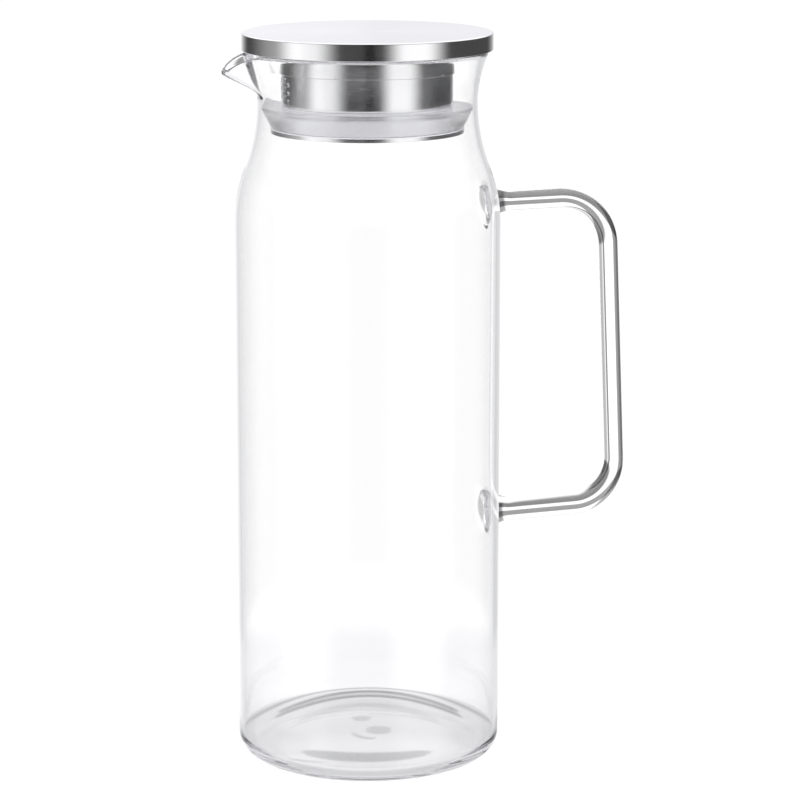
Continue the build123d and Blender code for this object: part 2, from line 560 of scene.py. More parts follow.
@dataclass(frozen=True)
class ClearGlass(Finish):
    """Fire-polished colourless glass, a little uneven."""

    tint: Colour = WHITE
    refraction: float = 1.47
    absorbed: Colour = (0.88, 0.88, 0.90, 1.0)
    density: float = 5.0
    wave_scale: float = 34.0
    wave_height: float = 0.02 * MM
    wave_layers: float = 1.0
    wave_strength: float = 0.25

    def fill(self, bench: NodeBench, shader: bpy.types.Node, output: bpy.types.Node) -> None:
        """Glass with a slight wave, and a body that takes a little light."""
        shader.inputs["Base Color"].default_value = self.tint
        shader.inputs["Roughness"].default_value = 0.0
        shader.inputs["IOR"].default_value = self.refraction
        shader.inputs["Transmission Weight"].default_value = 1.0
        place = bench.add("ShaderNodeTexCoord").outputs["Object"]
        wave = bench.noise(place, self.wave_scale, self.wave_layers)
        bench.relief(shader, wave, self.wave_strength, self.wave_height)
        body = bench.add("ShaderNodeVolumeAbsorption")
        body.inputs["Color"].default_value = self.absorbed
        body.inputs["Density"].default_value = self.density
        bench.join(body.outputs[0], output.inputs["Volume"])


@dataclass(frozen=True)
class BrushedSteel(Finish):
    """Stainless sheet with hairlines round the axis."""

    light: Colour = (0.80, 0.80, 0.81, 1.0)
    dark: Colour = (0.72, 0.72, 0.73, 1.0)
    roughness: tuple[float, float] = (0.13, 0.2)
    fineness: float = 9000.0
    along: float = 7.0
    stretch: float = 0.55
    stretch_turn: float = 0.25
    line_depth: float = 0.002 * MM
    line_strength: float = 0.12

    def fill(self, bench: NodeBench, shader: bpy.types.Node, output: bpy.types.Node) -> None:
        """Metal whose tone, gloss and relief follow the hairlines."""
        lines = bench.add("ShaderNodeGroup", node_tree=hairline_group())
        lines.inputs["Fineness"].default_value = self.fineness
        lines.inputs["Run"].default_value = self.along
        line = lines.outputs["Line"]
        shader.inputs["Metallic"].default_value = 1.0
        shader.inputs["Anisotropic"].default_value = self.stretch
        shader.inputs["Anisotropic Rotation"].default_value = self.stretch_turn
        bench.join(bench.blend_colour(line, self.dark, self.light), shader.inputs["Base Color"])
        bench.join(bench.spread(line, *TONE_RANGE, *self.roughness), shader.inputs["Roughness"])
        bench.relief(shader, line, self.line_strength, self.line_depth)
        tangent = bench.add("ShaderNodeTangent", direction_type="RADIAL", axis="Z")
        bench.join(tangent.outputs[0], shader.inputs["Tangent"])


@dataclass(frozen=True)
class MilkySilicone(Finish):
    """Matte translucent silicone."""

    light: Colour = (0.95, 0.95, 0.96, 1.0)
    dark: Colour = (0.90, 0.90, 0.91, 1.0)
    roughness: tuple[float, float] = (0.16, 0.2)
    translucency: float = 0.88
    refraction: float = 1.41
    blotch: float = 60.0
    grain: float = 900.0
    glow: float = 0.35
    glow_depth: float = 2.0 * MM
    skin_strength: float = 0.2
    skin_depth: float = 0.02 * MM

    def fill(self, bench: NodeBench, shader: bpy.types.Node, output: bpy.types.Node) -> None:
        """Soft light inside and a matte skin."""
        mottle = bench.add("ShaderNodeGroup", node_tree=mottle_group())
        mottle.inputs["Blotch"].default_value = self.blotch
        mottle.inputs["Grain"].default_value = self.grain
        tone = mottle.outputs["Tone"]
        bench.join(bench.blend_colour(tone, self.dark, self.light), shader.inputs["Base Color"])
        bench.join(bench.spread(tone, *TONE_RANGE, *self.roughness), shader.inputs["Roughness"])
        shader.inputs["Subsurface Weight"].default_value = self.glow
        shader.inputs["Subsurface Radius"].default_value = (1.0, 1.0, 1.0)
        shader.inputs["Subsurface Scale"].default_value = self.glow_depth
        shader.inputs["IOR"].default_value = self.refraction
        shader.inputs["Transmission Weight"].default_value = self.translucency
        bench.relief(shader, tone, self.skin_strength, self.skin_depth)


GLASS = ClearGlass("fire_polished_glass", Slot.GLASS)
STEEL = BrushedSteel("brushed_sheet_steel", Slot.STEEL)
SILICONE = MilkySilicone("milky_silicone", Slot.SILICONE)


# Glass


@dataclass
class RodFoot:
    """One fused end of the handle rod, where it spreads over the wall."""

    height: float
    rod_radius: float
    above: float
    below: float
    beside: float

    def edge(self, angle: float) -> float:
        """How far the foot reaches over the wall at an angle from level, in radians."""
        upright = self.above if math.sin(angle) > 0 else self.below
        return 1 / math.hypot(math.cos(angle) / self.beside, math.sin(angle) / upright)


@dataclass
class GlassJug:
    """The vessel with its pulled lip, and the rod handle fused to it."""

    body_radius: float
    wall: float = 1.6 * MM
    heel_radius: float = 7.9 * MM
    floor_thickness: float = 3.0 * MM
    inner_heel_radius: float = 6.0 * MM
    stand_ring_width: float = 6.0 * MM
    punt_rise: float = 1.6 * MM
    straight_height: float = 205.5 * MM
    shoulder_height: float = 45.5 * MM
    shoulder_share: float = 0.46
    throat_radius: float = 41.3 * MM
    flare_height: float = 18.0 * MM
    flare_angle: float = 22.0
    rim_flare: float = 3.7 * MM
    rim_round: float = 1.2 * MM
    spout_reach: float = 12.1 * MM
    spout_drop: float = 5.3 * MM
    spout_half_angle: float = 24.0
    spout_fall: float = 2.5
    spout_floor_rise: float = 7.2 * MM
    spout_floor_run: float = 6.5 * MM
    spout_round: float = 0.8 * MM
    handle_reach: float = 48.3 * MM
    handle_lean: float = 5.1 * MM
    upper_bend: float = 20.0 * MM
    lower_bend: float = 16.5 * MM
    foot_length: float = 7.5 * MM
    foot_fullness: float = 0.7
    coarse_row: float = 5.0 * MM
    fine_row: float = 1.31 * MM
    foot_cells: int = 14
    faces_handle: float = 0.5
    punt_steps: int = 24
    heel_steps: int = 16
    shoulder_steps: int = 18
    shoulder_probes: int = 60
    flare_steps: int = 22
    rim_steps: int = 14
    floor_steps: int = 40
    arm_steps: int = 8
    upper_bend_steps: int = 36
    grip_steps: int = 16
    lower_bend_steps: int = 32
    foot_steps: int = 12
    feet: list[RodFoot] = field(default_factory=lambda: [
        RodFoot(210.8 * MM, 3.65 * MM, 6.6 * MM, 9.8 * MM, 8.2 * MM),
        RodFoot(90.0 * MM, 4.5 * MM, 8.2 * MM, 9.6 * MM, 8.4 * MM),
    ])

    @property
    def throat_height(self) -> float:
        """Height of the narrowest place."""
        return self.straight_height + self.shoulder_height

    def shoulder(self, low: float, high: float, steps: int) -> Outline:
        """The S of the shoulder from the straight wall to the throat, as two arcs.

        Args:
            low: Radius of the straight wall.
            high: Radius of the throat.
            steps: Points on each arc.

        Returns:
            The points after the straight wall.
        """
        start = flat(low, self.straight_height)
        end = flat(high, self.throat_height)
        turn = start.lerp(end, self.shoulder_share)
        bulge, heading = bow(start, flat(0, 1), turn, steps)
        hollow, _ = bow(turn, heading, end, steps)
        return bulge + hollow

    def flare(self, share: float) -> tuple[Outline, Outline, Outline]:
        """The mouth above the throat, from the plain flare (0) to the lip's tip (1).

        Args:
            share: How far the section is pulled out.

        Returns:
            The outer side upwards, the round of the rim, and the inner side downwards.
        """
        lift = self.flare_height / 3
        rim_middle = self.throat_radius + self.rim_flare - self.rim_round
        rim_height = self.throat_height + self.flare_height
        middle_radius = self.throat_radius - self.wall / 2
        slope = math.tan(math.radians(self.flare_angle))
        plain = flat(rim_middle - lift * slope, rim_height - lift)
        pulled = flat(self.throat_radius - self.wall + self.spout_floor_run,
                      self.throat_height + self.spout_floor_rise)
        middle = [
            flat(middle_radius, self.throat_height),
            flat(middle_radius, self.throat_height + lift),
            plain.lerp(pulled, share),
            flat(rim_middle + self.spout_reach * share, rim_height - self.spout_drop * share * share),
        ]
        lip = self.rim_round + (self.spout_round - self.rim_round) * share
        out = (middle[3] - middle[2]).normalized()
        side = Vector((out.y, -out.x))
        level = Vector((1, 0))
        offsets = [level * self.wall / 2, level * self.wall / 2, side * lip, side * lip]
        outer = swoop([m + o for m, o in zip(middle, offsets)], self.flare_steps)
        inner = swoop([m - o for m, o in zip(middle, offsets)], self.flare_steps)
        crown, _ = bow(outer[-1], out, inner[-1], self.rim_steps)
        return outer[1:], crown, inner[-2::-1]

    def outline(self, share: float) -> Outline:
        """The whole half section of the vessel, from the foot's middle to the floor's middle.

        Args:
            share: How far the mouth is pulled out.

        Returns:
            The same number of points for any share.
        """
        bore = self.body_radius - self.wall
        stand = self.body_radius - self.heel_radius
        ring = stand - self.stand_ring_width
        points = [flat(0, self.punt_rise)]
        points += bow(points[-1], flat(1, 0), flat(ring, 0), self.punt_steps)[0]
        points += run(points[-1], flat(stand, 0), NARROW_STEP)
        heel_end = flat(self.body_radius, self.heel_radius)
        points += bow(points[-1], flat(1, 0), heel_end, self.heel_steps)[0]
        points += self.wall_rows(self.body_radius)
        points += self.shoulder(self.body_radius, self.throat_radius, self.shoulder_steps)
        outer, crown, inner = self.flare(share)
        points += outer + crown + inner
        points += self.shoulder(bore, self.throat_radius - self.wall, self.shoulder_steps)[-2::-1]
        heel_top = flat(bore, self.floor_thickness + self.inner_heel_radius)
        points += run(points[-1], flat(bore, self.straight_height), self.coarse_row)
        points += run(points[-1], heel_top, self.coarse_row)
        flat_edge = flat(bore - self.inner_heel_radius, self.floor_thickness)
        points += bow(points[-1], flat(0, -1), flat_edge, self.heel_steps)[0]
        points += run(points[-1], flat(ring, self.floor_thickness), MM)
        top = flat(0, self.floor_thickness + self.punt_rise)
        dome = bow(top, flat(1, 0), points[-1], self.floor_steps)[0]
        points += dome[-2::-1] + [top]
        return points

    def wall_rows(self, radius: float) -> Outline:
        """The outer wall's rows, finer where the feet are fused.

        Args:
            radius: The wall's radius.

        Returns:
            The points above the heel, up to the shoulder.
        """
        half = (self.foot_cells / 2 + 2) * self.fine_row
        upper, lower = self.feet
        heights = [lower.height - half, lower.height + half, upper.height - half]
        points = [flat(radius, self.heel_radius)]
        spacings = [self.coarse_row, self.fine_row, self.coarse_row]
        for height, spacing in zip(heights, spacings):
            points += run(points[-1], flat(radius, height), spacing)
        points += run(points[-1], flat(radius, self.straight_height), self.fine_row)
        return points[1:]

    def pull(self, azimuth: float) -> float:
        """How far the mouth is pulled out at an azimuth in radians, 0 away from the lip."""
        angle = math.degrees(abs(math.remainder(azimuth - math.pi, math.tau)))
        if angle >= self.spout_half_angle:
            return 0.0
        return ((1 + math.cos(math.pi * angle / self.spout_half_angle)) / 2) ** self.spout_fall

    def build(self) -> bpy.types.Object:
        """Turns the vessel, pulls its lip, and fuses the handle on.

        Returns:
            The finished glass.
        """
        plain = self.outline(0)
        jug = turn_on_lathe("glass_jug", plain)
        self.pull_lip(jug, plain)
        borders = [self.open_wall(jug, foot) for foot in self.feet]
        rod = self.bend_rod(borders)
        activate(jug)
        rod.select_set(True)
        bpy.ops.object.join()
        weld_and_face_out(jug)
        shade(jug, SMOOTH_ANGLE)
        return jug

    def pull_lip(self, jug: bpy.types.Object, plain: Outline) -> None:
        """Moves the mouth's points near the lip out to their pulled sections.

        Args:
            jug: The turned vessel.
            plain: The outline it was turned from.
        """
        stations = {}
        for i, point in enumerate(plain):
            if point.y > self.throat_height + WELD:
                stations[round(point.x / WELD), round(point.y / WELD)] = i
        cells = [(a, b) for a in (0, -1, 1) for b in (0, -1, 1)]
        sections = {}
        for vertex in jug.data.vertices:
            if vertex.co.z <= self.throat_height + WELD:
                continue
            azimuth = math.atan2(vertex.co.y, vertex.co.x)
            share = self.pull(azimuth)
            if share <= 0:
                continue
            radius = math.hypot(vertex.co.x, vertex.co.y)
            key = round(radius / WELD), round(vertex.co.z / WELD)
            found = [stations.get((key[0] + a, key[1] + b)) for a, b in cells]
            station = next(i for i in found if i is not None)
            column = round(azimuth, 5)
            if column not in sections:
                sections[column] = self.outline(share)
            moved = sections[column][station]
            vertex.co = (moved.x * math.cos(azimuth), moved.x * math.sin(azimuth), moved.y)

    def open_wall(self, jug: bpy.types.Object, foot: RodFoot) -> list[Vector]:
        """Cuts a patch out of the outer wall and shapes its edge to a foot's outline.

        Args:
            jug: The vessel.
            foot: The foot that goes there.

        Returns:
            The edge's points in order round the foot, from level, anticlockwise seen from outside.
        """
        half_wide = (self.foot_cells / 2) * math.tau / FACETS
        outside = self.throat_radius - self.wall / 4
        edit(jug)
        mesh = bmesh.from_edit_mesh(jug.data)
        rows = {}
        for face in mesh.faces:
            middle = face.calc_center_median()
            azimuth = math.atan2(middle.y, middle.x)
            if face.normal.x > self.faces_handle and middle.x > outside and abs(azimuth) < half_wide:
                rows.setdefault(round(middle.z / WELD), []).append(face)
        nearest = sorted(rows, key=lambda row: abs(row * WELD - foot.height))
        patch = [face for row in nearest[:self.foot_cells] for face in rows[row]]
        for face in patch:
            face.select_set(True)
        inside = set(patch)
        edge = {v for f in patch for e in f.edges if not set(e.link_faces) <= inside for v in e.verts}
        bpy.ops.mesh.delete(type="FACE")
        ring = []
        for vertex in edge:
            radius = math.hypot(vertex.co.x, vertex.co.y)
            along = math.atan2(vertex.co.y, vertex.co.x) * radius
            angle = math.atan2(vertex.co.z - foot.height, along)
            ring.append((angle, vertex))
        ring.sort(key=lambda pair: pair[0])
        for angle, vertex in ring:
            reach = foot.edge(angle)
            height = foot.height + reach * math.sin(angle)
            radius = self.wall_radius(height)
            azimuth = reach * math.cos(angle) / radius
            vertex.co = (radius * math.cos(azimuth), radius * math.sin(azimuth), height)
        bmesh.update_edit_mesh(jug.data)
        places = [vertex.co.copy() for _, vertex in ring]
        bpy.ops.object.mode_set(mode="OBJECT")
        return places

    def wall_radius(self, height: float) -> float:
        """The outer wall's radius at a height below the throat."""
        if height <= self.straight_height:
            return self.body_radius
        shoulder = self.shoulder(self.body_radius, self.throat_radius, self.shoulder_probes)
        low = flat(self.body_radius, self.straight_height)
        for high in shoulder:
            if high.y >= height:
                share = (height - low.y) / (high.y - low.y)
                return low.x + (high.x - low.x) * share
            low = high
        return self.throat_radius

    def bend_rod(self, borders: list[list[Vector]]) -> bpy.types.Object:
        """Bends the handle from a ring: arm, bend, grip, bend, arm, and a foot at each end.

        Args:
            borders: The edges in the wall that the upper and the lower foot spread to.

        Returns:
            The rod, open at both feet.
        """
        upper, lower = self.feet
        start = self.body_radius + self.foot_length
        grip_top = self.body_radius + self.handle_reach
        corner = Vector((grip_top, 0, upper.height))
        knee = Vector((grip_top + self.handle_lean, 0, lower.height))
        grip = (knee - corner).normalized()
        turns = [math.acos(grip.x), math.pi - math.acos(grip.x)]
        reaches = [r * math.tan(t / 2) for r, t in zip((self.upper_bend, self.lower_bend), turns)]
        count = len(borders[0])
        clear_selection()
        bpy.ops.mesh.primitive_circle_add(vertices=count, radius=upper.rod_radius)
        rod = bpy.context.object
        rod.name = "handle_rod"
        bpy.ops.object.mode_set(mode="EDIT")
        bpy.ops.mesh.select_all(action="SELECT")
        self.lay_ring(rod, [self.rod_point(i, count, upper, start) for i in range(count)])
        arm = corner.x - reaches[0] - start
        self.draw_out(Vector((arm, 0, 0)), self.arm_steps)
        centre = Vector((corner.x - reaches[0], 0, upper.height - self.upper_bend))
        bpy.ops.mesh.spin(steps=self.upper_bend_steps, angle=turns[0], center=centre, axis=BEND_AXIS)
        length = (knee - corner).length - sum(reaches)
        self.draw_out(grip * length, self.grip_steps)
        bend_end = Vector((knee.x - reaches[1], 0, lower.height))
        centre = bend_end + Vector((0, 0, self.lower_bend))
        growth = lower.rod_radius / upper.rod_radius
        self.swell_round(rod, centre, turns[1], growth, self.lower_bend_steps)
        self.draw_out(Vector((start - bend_end.x, 0, 0)), self.arm_steps)
        self.spread_foot(rod, lower, borders[1], start)
        self.select_ring(rod, start, upper)
        self.spread_foot(rod, upper, borders[0], start)
        bpy.ops.object.mode_set(mode="OBJECT")
        return rod

    def rod_point(self, index: int, count: int, foot: RodFoot, x: float) -> Vector:
        """A point of the rod's ring at a foot, in the same order as the wall's edge."""
        angle = math.tau * index / count - math.pi + math.pi / count
        radius = foot.rod_radius
        return Vector((x, radius * math.cos(angle), foot.height + radius * math.sin(angle)))

    def lay_ring(self, rod: bpy.types.Object, places: list[Vector]) -> None:
        """Puts the selected ring's points at given places, in their own order."""
        mesh = bmesh.from_edit_mesh(rod.data)
        ring = [v for v in mesh.verts if v.select]
        for vertex, place in zip(ring, places):
            vertex.co = place
        bmesh.update_edit_mesh(rod.data)

    def draw_out(self, travel: Vector, steps: int) -> None:
        """Draws the selected ring out along a straight line in even steps."""
        for _ in range(steps):
            bpy.ops.mesh.extrude_region_move(TRANSFORM_OT_translate={"value": travel / steps})

    def swell_round(self, rod: bpy.types.Object, centre: Vector, angle: float, growth: float,
                    steps: int) -> None:
        """Draws the selected ring round a bend while the rod grows thicker.

        Args:
            rod: The rod, in edit mode.
            centre: The bend's centre.
            angle: The bend's angle.
            growth: Thickness at the end over thickness at the start.
            steps: Steps of the bend.
        """
        for _ in range(steps):
            bpy.ops.mesh.spin(steps=1, angle=angle / steps, center=centre, axis=BEND_AXIS)
            mesh = bmesh.from_edit_mesh(rod.data)
            ring = [v.co for v in mesh.verts if v.select]
            middle = sum(ring, Vector()) / len(ring)
            size = growth ** (1 / steps)
            bpy.ops.transform.resize(value=(size, size, size), center_override=middle)

    def select_ring(self, rod: bpy.types.Object, x: float, foot: RodFoot) -> None:
        """Selects the rod's open ring at a foot."""
        bpy.ops.mesh.select_all(action="DESELECT")
        mesh = bmesh.from_edit_mesh(rod.data)
        for edge in mesh.edges:
            level = all(abs(v.co.x - x) < WELD for v in edge.verts)
            near = all(abs(v.co.z - foot.height) < 2 * foot.rod_radius for v in edge.verts)
            if edge.is_boundary and level and near:
                edge.select_set(True)
        bmesh.update_edit_mesh(rod.data)

    def spread_foot(self, rod: bpy.types.Object, foot: RodFoot, border: list[Vector],
                    start: float) -> None:
        """Draws the rod's end out over the wall in a hollow round, up to the wall's edge.

        Args:
            rod: The rod, in edit mode with its end ring selected.
            foot: The foot.
            border: The edge in the wall.
            start: Where the round begins, from the axis.
        """
        count = len(border)
        rod_end = [self.rod_point(i, count, foot, start) for i in range(count)]
        places = rod_end
        for step in range(1, self.foot_steps + 1):
            turn = math.pi / 2 * step / self.foot_steps
            bpy.ops.mesh.extrude_region_move(TRANSFORM_OT_translate={"value": (0, 0, 0)})
            mesh = bmesh.from_edit_mesh(rod.data)
            moved = [self.foot_point(rim, edge, turn, foot) for rim, edge in zip(rod_end, border)]
            for vertex in [v for v in mesh.verts if v.select]:
                index = min(range(count), key=lambda i: (vertex.co - places[i]).length_squared)
                vertex.co = moved[index]
            bmesh.update_edit_mesh(rod.data)
            places = moved

    def foot_point(self, rim: Vector, edge: Vector, turn: float, foot: RodFoot) -> Vector:
        """A point of a foot's hollow round, which is fuller above the rod than below it.

        Args:
            rim: The point on the rod's rim.
            edge: The point on the wall's edge.
            turn: From 0 at the rim to a quarter turn at the edge.
            foot: The foot.

        Returns:
            The point.
        """
        height = (rim.z - foot.height) / foot.rod_radius
        fullness = self.foot_fullness * (1 + height) / 2
        sink = math.sin(turn)
        spread = (1 - math.cos(turn)) * (1 - fullness) + sink * fullness
        return Vector((
            rim.x + (edge.x - rim.x) * sink,
            rim.y + (edge.y - rim.y) * spread,
            rim.z + (edge.z - rim.z) * spread,
        ))


# Steel lid


@dataclass
class SteelLid:
    """Cover, underplate, collar, strainer drum and base ring, which lift and turn as one."""

    sheet: float = 0.6 * MM
    crown: float = 1.8 * MM
    crown_drop: float = 0.14 * MM
    crown_bend: float = 8.0 * MM
    top_edge: float = 0.6 * MM
    hem: float = 2.4 * MM
    hem_bend: float = 0.25 * MM
    drum_sheet: float = 0.5 * MM
    bead_room: float = 0.5 * MM
    bead_depth: float = 0.06 * MM
    bead_height: float = 0.9 * MM
    bead_above_seal: float = 0.1 * MM
    bead_steps: int = 10
    collar_sheet: float = 0.5 * MM
    collar_edge: float = 1.2 * MM
    collar_lip: float = 2.0 * MM
    sleeve_clearance: float = 0.05 * MM
    hole_diameter: float = 1.9 * MM
    hole_pitch: float = 3.35 * MM
    hole_column_pitch: float = 2.9 * MM
    hole_columns: int = 15
    hole_rows: int = 3
    hole_first_azimuth: float = 185.5
    hole_sides: int = 24
    hole_wall_step: float = 0.8 * MM
    punch_sheets: int = 6
    ring_sheet: float = 0.6 * MM
    ring_round: float = 0.5 * MM
    weld_azimuths: tuple[float, ...] = (-153.7, -130.5, -52.3, 24.0, 101.0)
    weld_size: float = 0.42 * MM
    weld_segments: int = 16
    weld_rings: int = 8
    weld_shape: tuple[float, float, float] = (0.6, 0.6, 0.8)

    def build(self) -> None:
        """Makes and dresses the five pieces."""
        dress(self.cover(), STEEL, Body.LID, "lid_cover")
        dress(self.underplate(), STEEL, Body.LID, "underplate")
        dress(self.collar(), STEEL, Body.LID, "drum_collar")
        dress(self.drum(), STEEL, Body.LID, "strainer_drum")
        dress(self.base_ring(), STEEL, Body.LID, "base_ring")

    def cover(self) -> bpy.types.Object:
        """The pressed disc with its skirt and turned-in hem."""
        low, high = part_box("lid_cover")
        radius = high.x
        inner = radius - self.sheet
        edge = radius - self.hem
        ceiling = high.z - self.sheet
        floor = low.z + self.sheet
        corners = [
            (flat(0, high.z), 0),
            (flat(radius - self.crown, high.z), self.crown_bend),
            (flat(radius, high.z - self.crown_drop), self.top_edge),
            (flat(radius, low.z), self.hem_bend),
            (flat(edge, low.z), 0),
            (flat(edge, floor), 0),
            (flat(inner, floor), 0),
            (flat(inner, ceiling), self.top_edge - self.sheet),
            (flat(0, ceiling), 0),
        ]
        return press("lid_cover_pressing", corners, WIDE_STEP, closed=False)

    def underplate(self) -> bpy.types.Object:
        """The flat disc that closes the cover from below."""
        low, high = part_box("underplate")
        edge_round = self.sheet / 4
        corners = [
            (flat(0, low.z), 0),
            (flat(high.x, low.z), edge_round),
            (flat(high.x, high.z), edge_round),
            (flat(0, high.z), 0),
        ]
        return press("lid_underplate_disc", corners, WIDE_STEP, closed=False)

    def collar(self) -> bpy.types.Object:
        """The band that holds the drum, with its rounded top and its spot welds."""
        low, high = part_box("drum_collar")
        bore = high.x - self.collar_sheet
        lip = high.x - self.collar_lip
        step = high.z - self.collar_sheet
        corners = [
            (flat(bore, low.z), 0),
            (flat(high.x, low.z), self.collar_sheet / 2),
            (flat(high.x, high.z), self.collar_edge),
            (flat(lip, high.z), 0),
            (flat(lip, step), 0),
            (flat(bore, step), self.collar_edge - self.collar_sheet),
        ]
        piece = turn_on_lathe("drum_collar_band", rounded(corners, NARROW_STEP))
        edit(piece)
        for azimuth in self.weld_azimuths:
            turn = math.radians(azimuth)
            place = Vector((high.x * math.cos(turn), high.x * math.sin(turn), low.z + self.weld_size))
            bpy.ops.mesh.primitive_uv_sphere_add(
                segments=self.weld_segments, ring_count=self.weld_rings, radius=self.weld_size,
                location=place)
            bpy.ops.transform.resize(value=self.weld_shape, center_override=place)
        bpy.ops.object.mode_set(mode="OBJECT")
        shade(piece, EDGE_ANGLE)
        return piece

    def drum(self) -> bpy.types.Object:
        """The strainer tube with its swaged bead and its field of holes."""
        low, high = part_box("strainer_drum")
        collar_low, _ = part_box("drum_collar")
        _, seal_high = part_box("seal_ring")
        radius = high.x - self.bead_room
        bore = radius - self.drum_sheet
        bead_low = seal_high.z + self.bead_above_seal
        bead_high = bead_low + self.bead_height
        swell = 2 * math.atan(2 * self.bead_depth / self.bead_height)
        points = [flat(bore, low.z)]
        points += stretch(points[-1], flat(radius, low.z), MM)
        points += stretch(points[-1], flat(radius, bead_low), NARROW_STEP)
        heading = flat(math.sin(swell), math.cos(swell))
        points += bow(points[-1], heading, flat(radius, bead_high), self.bead_steps)[0]
        points += stretch(points[-1], flat(radius, high.z), self.hole_wall_step)
        points += stretch(points[-1], flat(bore, high.z), MM)
        points += stretch(points[-1], points[0], self.hole_wall_step)
        piece = turn_on_lathe("strainer_drum_tube", points)
        window = collar_low.z - bead_high
        lowest = bead_high + (window - (self.hole_rows - 0.5) * self.hole_pitch) / 2
        self.punch(piece, radius, lowest)
        shade(piece, EDGE_ANGLE)
        return piece

    def punch(self, piece: bpy.types.Object, radius: float, lowest: float) -> None:
        """Cuts the staggered field of holes.

        Args:
            piece: The drum.
            radius: Its outside radius.
            lowest: Height of the lowest holes.
        """
        clear_selection()
        bpy.ops.mesh.primitive_circle_add(vertices=3, radius=MM)
        punches = bpy.context.object
        bpy.ops.object.mode_set(mode="EDIT")
        bpy.ops.mesh.select_all(action="SELECT")
        bpy.ops.mesh.delete(type="VERT")
        for column in range(self.hole_columns):
            turn = math.radians(self.hole_first_azimuth) - column * self.hole_column_pitch / radius
            shift = self.hole_pitch / 2 * (column % 2)
            for row in range(self.hole_rows):
                height = lowest + shift + row * self.hole_pitch
                bpy.ops.mesh.primitive_cylinder_add(
                    vertices=self.hole_sides, radius=self.hole_diameter / 2,
                    depth=self.punch_sheets * self.drum_sheet,
                    location=(radius * math.cos(turn), radius * math.sin(turn), height),
                    rotation=(0, math.pi / 2, turn))
        bpy.ops.object.mode_set(mode="OBJECT")
        activate(piece)
        cut = piece.modifiers.new("holes", "BOOLEAN")
        cut.operation = "DIFFERENCE"
        cut.solver = "EXACT"
        cut.object = punches
        bpy.ops.object.modifier_apply(modifier=cut.name)
        bpy.data.objects.remove(punches, do_unlink=True)

    def base_ring(self) -> bpy.types.Object:
        """The channel ring under the seal."""
        low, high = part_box("base_ring")
        drum_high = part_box("strainer_drum")[1]
        bore = drum_high.x - self.bead_room + self.sleeve_clearance
        seat = high.z - self.ring_sheet
        corners = [
            (flat(bore, seat), 0),
            (flat(high.x - self.ring_sheet, seat), 0),
            (flat(high.x - self.ring_sheet, low.z), 0),
            (flat(high.x, low.z), self.ring_sheet / 4),
            (flat(high.x, high.z), self.ring_round),
            (flat(bore, high.z), 0),
        ]
        return press("seal_base_ring", corners, NARROW_STEP)


# Silicone seal


@dataclass
class SiliconeSeal:
    """The wedge ring that grips the throat."""

    foot_width: float = 4.1 * MM
    turn_clearance: float = 0.05 * MM
    lip_height: float = 1.0 * MM
    lip_round: float = 0.5 * MM
    lip_top_share: float = 0.8
    dish: float = 0.3 * MM

    def build(self) -> None:
        """Makes and dresses the ring."""
        low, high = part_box("seal_ring")
        drum_radius = self.drum_radius()
        bore = drum_radius + self.turn_clearance
        corners = [
            (flat(bore, low.z), 0),
            (flat(drum_radius + self.foot_width, low.z), self.lip_round),
            (flat(high.x, high.z - self.lip_height), self.lip_round),
            (flat(high.x, high.z), self.lip_round * self.lip_top_share),
            (flat(high.x - 2 * self.lip_round, high.z), 0),
            (flat(bore, high.z - self.dish), 0),
        ]
        piece = press("silicone_seal_wedge", corners, NARROW_STEP)
        dress(piece, SILICONE, Body.SEAL, "seal_ring")

    def drum_radius(self) -> float:
        """The drum's outside radius, from its box less the bead."""
        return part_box("strainer_drum")[1].x - SteelLid.bead_room


# Studio


@dataclass
class Panel:
    """A light or a dark part of the room, by an angle in degrees.

    The angle is the bearing from the camera's side, right positive, or for the low cards the rise.
    """

    starts: float
    full_from: float
    full_to: float
    ends: float
    level: float


def ease(share: float) -> float:
    """A share from 0 to 1 with soft ends."""
    held = min(max(share, 0.0), 1.0)
    return held * held * (3 - 2 * held)


@dataclass(frozen=True)
class PaintedShadowArc:
    """A soft painted shadow arc, for the shade that the foot's thick glass throws on the table, in
    millimetres.

    Its top is given to the camera's right and towards it, from the jug's axis, and its ends by their
    offsets from the top.
    """

    right: float
    near: float
    bend: float
    starts: float
    ends: float
    half: float
    soft: float
    depth: float

    def at(self, right: float, near: float) -> float:
        """How dark the arc is at a place."""
        along = right - self.right
        line = self.near + self.bend * along * along
        away = abs(near - line) / math.hypot(1, 2 * self.bend * along)
        over = max(self.starts - along, along - self.ends, 0.0)
        share = (2 * along - self.starts - self.ends) / (self.ends - self.starts)
        half = self.half * math.sqrt(max(1 - share * share, 0.0))
        reach = math.hypot(max(away - half, 0.0), over) / self.soft
        return self.depth * math.exp(-reach * reach)


@dataclass(frozen=True)
class PaintedShadowSpot:
    """A soft painted shadow oval on the table, placed as an arc is, in millimetres."""

    right: float
    near: float
    half_wide: float
    half_deep: float
    soft: float
    depth: float

    def at(self, right: float, near: float) -> float:
        """How dark the oval is at a place."""
        reach = math.hypot((right - self.right) / self.half_wide, (near - self.near) / self.half_deep)
        away = max(reach - 1, 0.0) * (self.half_wide + self.half_deep) / 2 / self.soft
        return self.depth * math.exp(-away * away)
